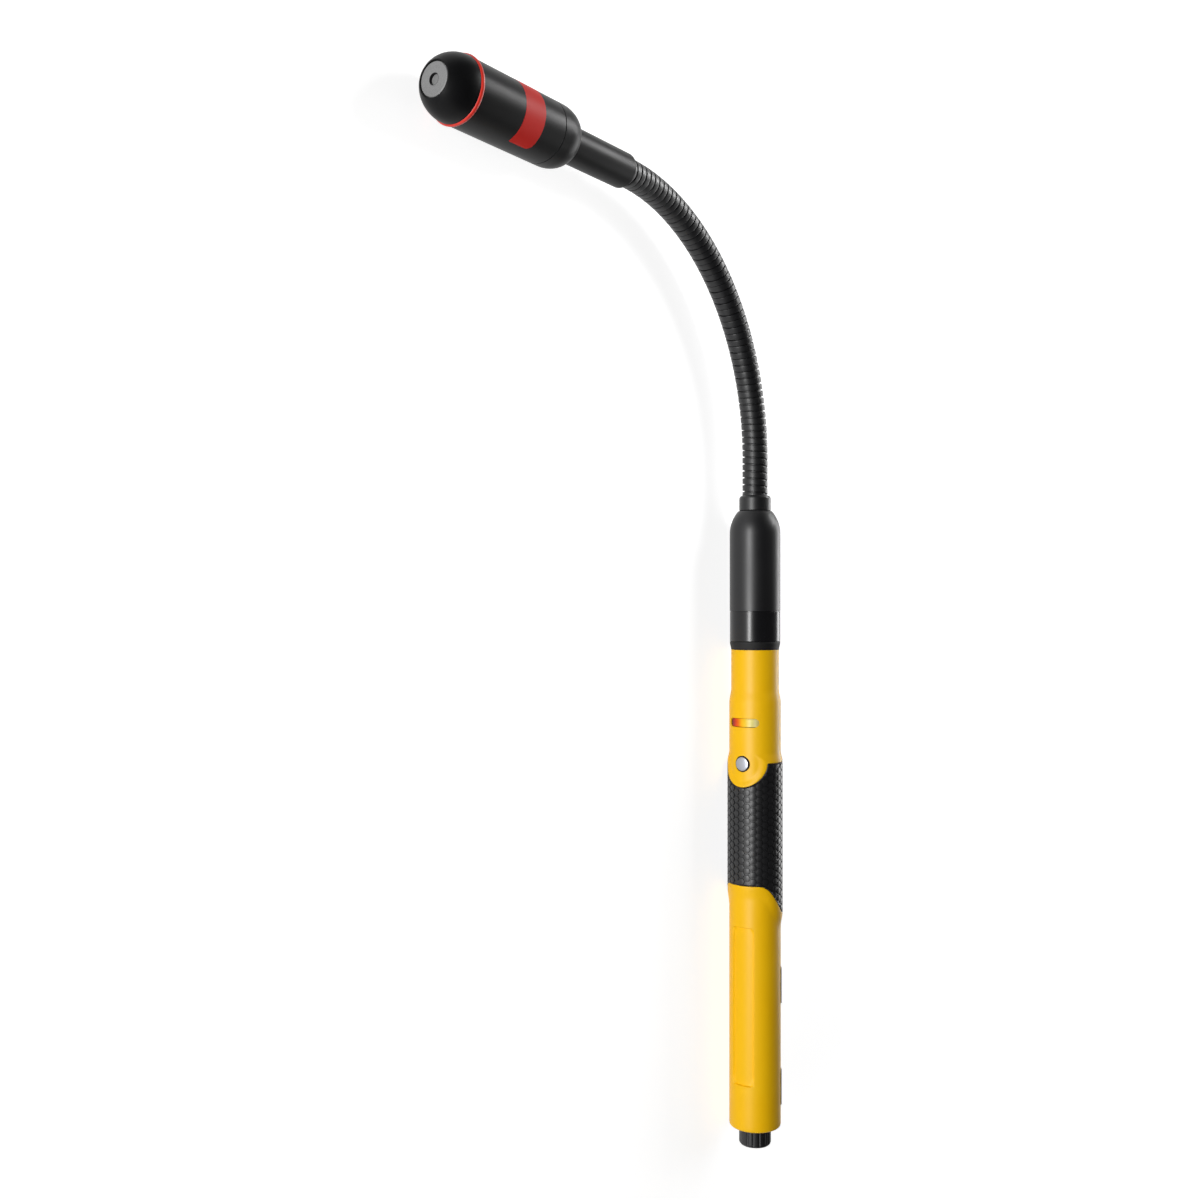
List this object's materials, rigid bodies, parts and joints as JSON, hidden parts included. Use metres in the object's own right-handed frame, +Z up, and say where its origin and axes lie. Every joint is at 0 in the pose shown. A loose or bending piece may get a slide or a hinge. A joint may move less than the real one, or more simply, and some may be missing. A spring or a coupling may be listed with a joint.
{
  "type": "refrigerant leak detector",
  "caption": "Pen-shaped refrigerant leak detector: yellow handle with a rubber grip, power button and indicator window, a bending neck and a round sensor head with a filter tip.",
  "frame": {"origin": "below the middle of the outer box, on the surface that the tool lies on", "axes": "+Y along the handle from the battery cap to the neck, -X out of the front of the handle, +Z up"},
  "size_m": [0.2472, 0.4723, 0.0275],
  "materials": {
    "yellow_abs": "satin moulded",
    "black_rubber": "matte",
    "black_plastic": "fine satin",
    "gloss_black": "polished",
    "neck_steel": "black, semi-gloss",
    "red_rubber": "satin",
    "red_film": "satin film",
    "grey_filter": "sintered, matte",
    "silver_button": "satin",
    "clear_window": "polished, tinted",
    "board": "solder mask",
    "inner_plastic": "moulded",
    "cell_can": "printed sleeve",
    "contact_metal": "plated",
    "spring_steel": "bright",
    "diode": "clear"
  },
  "bodies": {
    "handle": {"handle_housing": "yellow_abs", "grip_sleeve": "black_rubber", "rear_pad_lower": "black_rubber", "rear_pad_upper": "black_rubber", "indicator_window": "clear_window", "power_switch": "inner_plastic", "main_board": "board", "sounder": "inner_plastic", "indicator_diodes": "diode", "battery_tube": "inner_plastic", "battery_lower": "cell_can", "battery_upper": "cell_can", "battery_contact": "contact_metal", "handle_socket": "inner_plastic", "neck_plug": "inner_plastic", "coupling_seal": "black_rubber", "coupling_ring": "gloss_black", "neck_sleeve": "black_plastic", "neck_collar": "black_plastic", "neck_root": "neck_steel"},
    "button": {"power_button": "silver_button", "switch_plunger": "inner_plastic"},
    "cap_travel": {"battery_spring": "spring_steel"},
    "cap": {"battery_cap": "black_plastic", "cap_seal": "black_rubber"},
    "neck_01": {"neck_link_01": "neck_steel"},
    "neck_02": {"neck_link_02": "neck_steel"},
    "neck_03": {"neck_link_03": "neck_steel"},
    "neck_04": {"neck_link_04": "neck_steel"},
    "neck_05": {"neck_link_05": "neck_steel"},
    "neck_06": {"neck_link_06": "neck_steel"},
    "neck_07": {"neck_link_07": "neck_steel"},
    "neck_08": {"neck_link_08": "neck_steel"},
    "neck_09": {"neck_link_09": "neck_steel"},
    "neck_10": {"neck_link_10": "neck_steel"},
    "neck_11": {"neck_link_11": "neck_steel"},
    "neck_12": {"neck_link_12": "neck_steel"},
    "neck_13": {"neck_link_13": "neck_steel"},
    "neck_14": {"neck_link_14": "neck_steel"},
    "neck_15": {"neck_link_15": "neck_steel"},
    "neck_16": {"neck_link_16": "neck_steel"},
    "neck_17": {"neck_link_17": "neck_steel"},
    "neck_18": {"neck_link_18": "neck_steel"},
    "neck_19": {"neck_link_19": "neck_steel"},
    "neck_20": {"neck_link_20": "neck_steel"},
    "neck_21": {"neck_link_21": "neck_steel"},
    "neck_22": {"neck_link_22": "neck_steel"},
    "neck_23": {"neck_link_23": "neck_steel"},
    "neck_24": {"neck_link_24": "neck_steel"},
    "neck_25": {"neck_link_25": "neck_steel"},
    "head": {"neck_link_26": "neck_steel", "neck_ferrule": "black_plastic", "head_rear_shell": "black_plastic", "head_barrel": "black_plastic", "head_label": "red_film", "head_seal_ring": "red_rubber", "nose_cap": "black_plastic", "filter_disc": "grey_filter", "sensor_element": "spring_steel", "sensor_board": "board"}
  },
  "joints": [
    {"name": "power_button_press", "type": "slide", "parent": "handle", "child": "button", "axis": [1, 0, 0], "range_m": [0, 0.0008], "stiffness_N_per_m": 2000},
    {"name": "cap_travel", "type": "slide", "parent": "handle", "child": "cap_travel", "axis": [0, -1, 0], "range_m": [0, 0.0035]},
    {"name": "cap_turn", "type": "hinge", "parent": "cap_travel", "child": "cap", "pos_m": [0.1099, -0.23619, 0.01375], "axis": [0, -1, 0], "range_deg": [0, 540]},
    {"name": "neck_lower_bend", "type": "hinge", "parent": "handle", "child": "neck_01", "pos_m": [0.1099, 0.10876, 0.01375], "axis": [0, 0, 1], "range_deg": [-8.21, 1.39]},
    {"name": "neck_lower_bend_02", "type": "hinge", "parent": "neck_01", "child": "neck_02", "pos_m": [0.10949, 0.1156, 0.01375], "axis": [0, 0, 1], "range_deg": [-8.21, 1.39]},
    {"name": "neck_lower_bend_03", "type": "hinge", "parent": "neck_02", "child": "neck_03", "pos_m": [0.10868, 0.1224, 0.01375], "axis": [0, 0, 1], "range_deg": [-8.21, 1.39]},
    {"name": "neck_lower_bend_04", "type": "hinge", "parent": "neck_03", "child": "neck_04", "pos_m": [0.10746, 0.12914, 0.01375], "axis": [0, 0, 1], "range_deg": [-8.21, 1.39]},
    {"name": "neck_lower_bend_05", "type": "hinge", "parent": "neck_04", "child": "neck_05", "pos_m": [0.10585, 0.1358, 0.01375], "axis": [0, 0, 1], "range_deg": [-8.21, 1.39]},
    {"name": "neck_lower_bend_06", "type": "hinge", "parent": "neck_05", "child": "neck_06", "pos_m": [0.10384, 0.14234, 0.01375], "axis": [0, 0, 1], "range_deg": [-8.21, 1.39]},
    {"name": "neck_lower_bend_07", "type": "hinge", "parent": "neck_06", "child": "neck_07", "pos_m": [0.10145, 0.14876, 0.01375], "axis": [0, 0, 1], "range_deg": [-8.21, 1.39]},
    {"name": "neck_lower_bend_08", "type": "hinge", "parent": "neck_07", "child": "neck_08", "pos_m": [0.09868, 0.15503, 0.01375], "axis": [0, 0, 1], "range_deg": [-8.21, 1.39]},
    {"name": "neck_lower_bend_09", "type": "hinge", "parent": "neck_08", "child": "neck_09", "pos_m": [0.09554, 0.16112, 0.01375], "axis": [0, 0, 1], "range_deg": [-8.21, 1.39]},
    {"name": "neck_lower_bend_10", "type": "hinge", "parent": "neck_09", "child": "neck_10", "pos_m": [0.09204, 0.16701, 0.01375], "axis": [0, 0, 1], "range_deg": [-8.21, 1.39]},
    {"name": "neck_lower_bend_11", "type": "hinge", "parent": "neck_10", "child": "neck_11", "pos_m": [0.08821, 0.17268, 0.01375], "axis": [0, 0, 1], "range_deg": [-8.21, 1.39]},
    {"name": "neck_lower_bend_12", "type": "hinge", "parent": "neck_11", "child": "neck_12", "pos_m": [0.08404, 0.17812, 0.01375], "axis": [0, 0, 1], "range_deg": [-8.21, 1.39]},
    {"name": "neck_lower_bend_13", "type": "hinge", "parent": "neck_12", "child": "neck_13", "pos_m": [0.07955, 0.1833, 0.01375], "axis": [0, 0, 1], "range_deg": [-8.21, 1.39]},
    {"name": "neck_upper_bend_14", "type": "hinge", "parent": "neck_13", "child": "neck_14", "pos_m": [0.07477, 0.1882, 0.01375], "axis": [0, 0, 1], "range_deg": [-8.21, 1.39]},
    {"name": "neck_upper_bend_15", "type": "hinge", "parent": "neck_14", "child": "neck_15", "pos_m": [0.0697, 0.19281, 0.01375], "axis": [0, 0, 1], "range_deg": [-8.21, 1.39]},
    {"name": "neck_upper_bend_16", "type": "hinge", "parent": "neck_15", "child": "neck_16", "pos_m": [0.06437, 0.19711, 0.01375], "axis": [0, 0, 1], "range_deg": [-8.21, 1.39]},
    {"name": "neck_upper_bend_17", "type": "hinge", "parent": "neck_16", "child": "neck_17", "pos_m": [0.05879, 0.20109, 0.01375], "axis": [0, 0, 1], "range_deg": [-8.21, 1.39]},
    {"name": "neck_upper_bend_18", "type": "hinge", "parent": "neck_17", "child": "neck_18", "pos_m": [0.05299, 0.20472, 0.01375], "axis": [0, 0, 1], "range_deg": [-8.21, 1.39]},
    {"name": "neck_upper_bend_19", "type": "hinge", "parent": "neck_18", "child": "neck_19", "pos_m": [0.04698, 0.20801, 0.01375], "axis": [0, 0, 1], "range_deg": [-8.21, 1.39]},
    {"name": "neck_upper_bend_20", "type": "hinge", "parent": "neck_19", "child": "neck_20", "pos_m": [0.04078, 0.21093, 0.01375], "axis": [0, 0, 1], "range_deg": [-8.21, 1.39]},
    {"name": "neck_upper_bend_21", "type": "hinge", "parent": "neck_20", "child": "neck_21", "pos_m": [0.03442, 0.21348, 0.01375], "axis": [0, 0, 1], "range_deg": [-8.21, 1.39]},
    {"name": "neck_upper_bend_22", "type": "hinge", "parent": "neck_21", "child": "neck_22", "pos_m": [0.02792, 0.21565, 0.01375], "axis": [0, 0, 1], "range_deg": [-8.21, 1.39]},
    {"name": "neck_upper_bend_23", "type": "hinge", "parent": "neck_22", "child": "neck_23", "pos_m": [0.02131, 0.21742, 0.01375], "axis": [0, 0, 1], "range_deg": [-8.21, 1.39]},
    {"name": "neck_upper_bend_24", "type": "hinge", "parent": "neck_23", "child": "neck_24", "pos_m": [0.0146, 0.2188, 0.01375], "axis": [0, 0, 1], "range_deg": [-8.21, 1.39]},
    {"name": "neck_upper_bend_25", "type": "hinge", "parent": "neck_24", "child": "neck_25", "pos_m": [0.00782, 0.21978, 0.01375], "axis": [0, 0, 1], "range_deg": [-8.21, 1.39]},
    {"name": "neck_upper_bend", "type": "hinge", "parent": "neck_25", "child": "head", "pos_m": [0.00099, 0.22035, 0.01375], "axis": [0, 0, 1], "range_deg": [-8.21, 1.39]}
  ],
  "couplings": [
    {"joint": "cap_travel", "follows": "cap_turn", "m_per_rad": 0.00031831},
    {"joint": "neck_lower_bend_02", "follows": "neck_lower_bend", "ratio": 1},
    {"joint": "neck_lower_bend_03", "follows": "neck_lower_bend", "ratio": 1},
    {"joint": "neck_lower_bend_04", "follows": "neck_lower_bend", "ratio": 1},
    {"joint": "neck_lower_bend_05", "follows": "neck_lower_bend", "ratio": 1},
    {"joint": "neck_lower_bend_06", "follows": "neck_lower_bend", "ratio": 1},
    {"joint": "neck_lower_bend_07", "follows": "neck_lower_bend", "ratio": 1},
    {"joint": "neck_lower_bend_08", "follows": "neck_lower_bend", "ratio": 1},
    {"joint": "neck_lower_bend_09", "follows": "neck_lower_bend", "ratio": 1},
    {"joint": "neck_lower_bend_10", "follows": "neck_lower_bend", "ratio": 1},
    {"joint": "neck_lower_bend_11", "follows": "neck_lower_bend", "ratio": 1},
    {"joint": "neck_lower_bend_12", "follows": "neck_lower_bend", "ratio": 1},
    {"joint": "neck_lower_bend_13", "follows": "neck_lower_bend", "ratio": 1},
    {"joint": "neck_upper_bend_14", "follows": "neck_upper_bend", "ratio": 1},
    {"joint": "neck_upper_bend_15", "follows": "neck_upper_bend", "ratio": 1},
    {"joint": "neck_upper_bend_16", "follows": "neck_upper_bend", "ratio": 1},
    {"joint": "neck_upper_bend_17", "follows": "neck_upper_bend", "ratio": 1},
    {"joint": "neck_upper_bend_18", "follows": "neck_upper_bend", "ratio": 1},
    {"joint": "neck_upper_bend_19", "follows": "neck_upper_bend", "ratio": 1},
    {"joint": "neck_upper_bend_20", "follows": "neck_upper_bend", "ratio": 1},
    {"joint": "neck_upper_bend_21", "follows": "neck_upper_bend", "ratio": 1},
    {"joint": "neck_upper_bend_22", "follows": "neck_upper_bend", "ratio": 1},
    {"joint": "neck_upper_bend_23", "follows": "neck_upper_bend", "ratio": 1},
    {"joint": "neck_upper_bend_24", "follows": "neck_upper_bend", "ratio": 1},
    {"joint": "neck_upper_bend_25", "follows": "neck_upper_bend", "ratio": 1}
  ]
}
